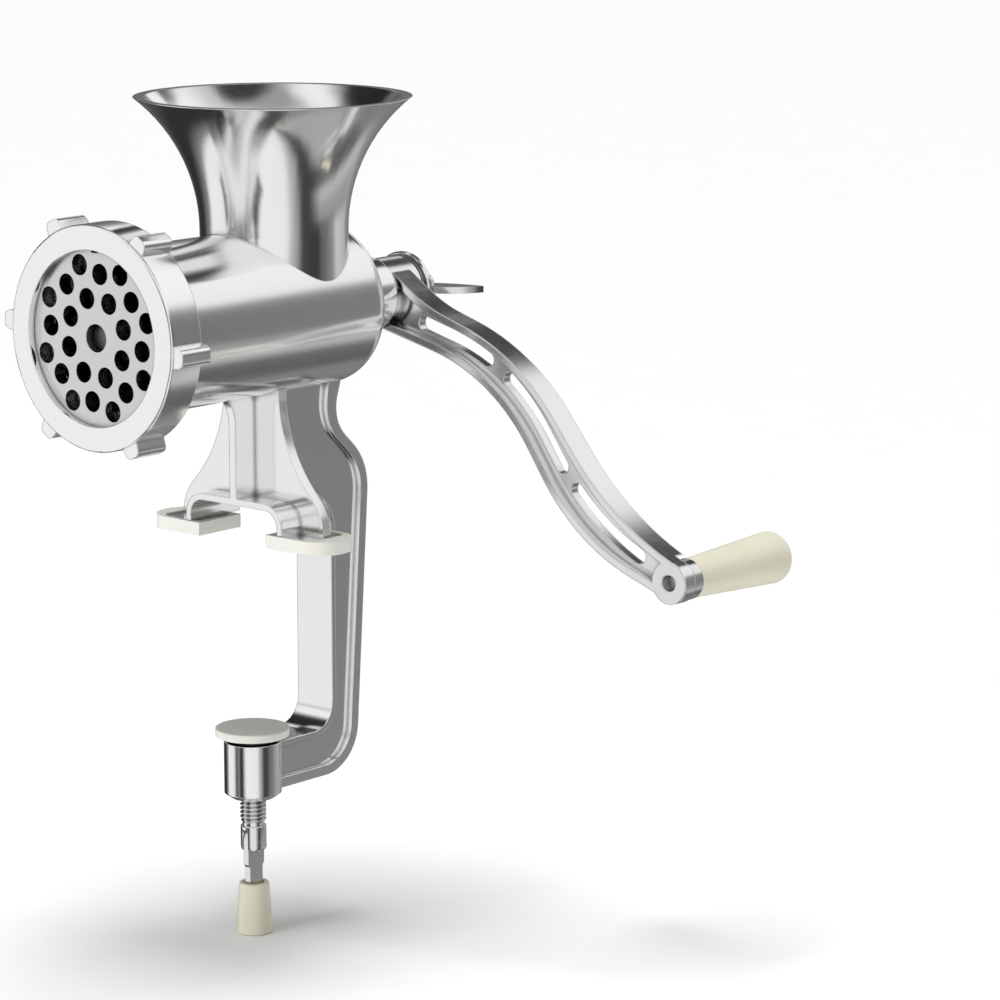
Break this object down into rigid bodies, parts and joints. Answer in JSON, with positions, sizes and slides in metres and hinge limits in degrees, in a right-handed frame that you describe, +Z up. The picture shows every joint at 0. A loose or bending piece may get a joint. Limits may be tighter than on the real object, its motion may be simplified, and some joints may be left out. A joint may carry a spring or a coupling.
{
  "type": "hand crank meat grinder",
  "caption": "Hand crank meat grinder with a flared hopper, a perforated outlet plate under a lugged ring nut, an S-shaped crank and a screw clamp for a table edge.",
  "frame": {"origin": "on the clamp screw's axis, level with the table top, which is where the undersides of the two table pads are", "axes": "+Z up along the clamp screw and the hopper, +Y along the barrel from the outlet towards the crank, +X sideways"},
  "size_m": [0.1942, 0.2008, 0.2986],
  "materials": {
    "cast_body": "cast aluminium, satin polished",
    "cast_ring": "cast aluminium, satin polished, turned front face",
    "cast_crank": "cast aluminium, polished rails",
    "cast_auger": "cast aluminium, tumbled",
    "ground_steel": "ground stainless steel",
    "bright_steel": "bright turned steel",
    "dark_steel": "dark steel washer",
    "bearing_metal": "sintered bronze bush",
    "dark_fibre": "dark fibre washer",
    "cream_grip": "cream moulded plastic",
    "white_pad": "white moulded plastic"
  },
  "bodies": {
    "root": {"body_casting": "cast_body", "pad_left": "white_pad", "pad_right": "white_pad", "rear_bush": "bearing_metal", "plate_key_pin": "bright_steel"},
    "drive": {"auger": "cast_auger", "knife": "ground_steel", "thrust_washer": "dark_fibre", "crank_arm": "cast_crank", "grip_axle": "bright_steel", "grip_ferrule": "bright_steel"},
    "handle": {"crank_grip": "cream_grip", "grip_cap": "cream_grip"},
    "wing_washer": {"lock_washer": "dark_steel"},
    "wing": {"wing_screw": "bright_steel"},
    "outlet_plate": {"cutting_plate": "ground_steel"},
    "ring": {"ring_nut": "cast_ring"},
    "press": {"pressure_pad": "white_pad", "pressure_disc": "dark_steel"},
    "screw": {"clamp_screw": "bright_steel", "lever_pin": "bright_steel"},
    "lever": {"lever_bar": "bright_steel", "lever_grip": "cream_grip"}
  },
  "joints": [
    {"name": "crank_spin", "type": "hinge", "parent": "root", "child": "drive", "pos_m": [0, 0, 0.0798], "axis": [0, 1, 0], "continuous": true},
    {"name": "grip_spin", "type": "hinge", "parent": "drive", "child": "handle", "pos_m": [0.1363, 0.1, -0.0078], "axis": [0, 1, 0], "continuous": true},
    {"name": "wing_slide", "type": "slide", "parent": "drive", "child": "wing_washer", "axis": [0, 1, 0], "range_m": [0, 0.012]},
    {"name": "wing_turn", "type": "hinge", "parent": "wing_washer", "child": "wing", "pos_m": [0, 0.085, 0.0798], "axis": [0, 1, 0], "range_deg": [0, 4320]},
    {"name": "plate_slide", "type": "slide", "parent": "root", "child": "outlet_plate", "axis": [0, -1, 0], "range_m": [0, 0.009]},
    {"name": "ring_turn", "type": "hinge", "parent": "outlet_plate", "child": "ring", "pos_m": [0, -0.07, 0.0798], "axis": [0, -1, 0], "range_deg": [0, 1080]},
    {"name": "clamp_lift", "type": "slide", "parent": "root", "child": "press", "axis": [0, 0, 1], "range_m": [0, 0.0195]},
    {"name": "clamp_turn", "type": "hinge", "parent": "press", "child": "screw", "pos_m": [0, 0, -0.09], "axis": [0, 0, 1], "range_deg": [0, 4680]},
    {"name": "lever_fold", "type": "hinge", "parent": "screw", "child": "lever", "pos_m": [0, 0, -0.1098], "axis": [1, 0, 0], "range_deg": [-90, 0]}
  ],
  "couplings": [
    {"joint": "wing_slide", "follows": "wing_turn", "m_per_rad": 0.00015915},
    {"joint": "plate_slide", "follows": "ring_turn", "m_per_rad": 0.00047746},
    {"joint": "clamp_lift", "follows": "clamp_turn", "m_per_rad": 0.00023873}
  ]
}
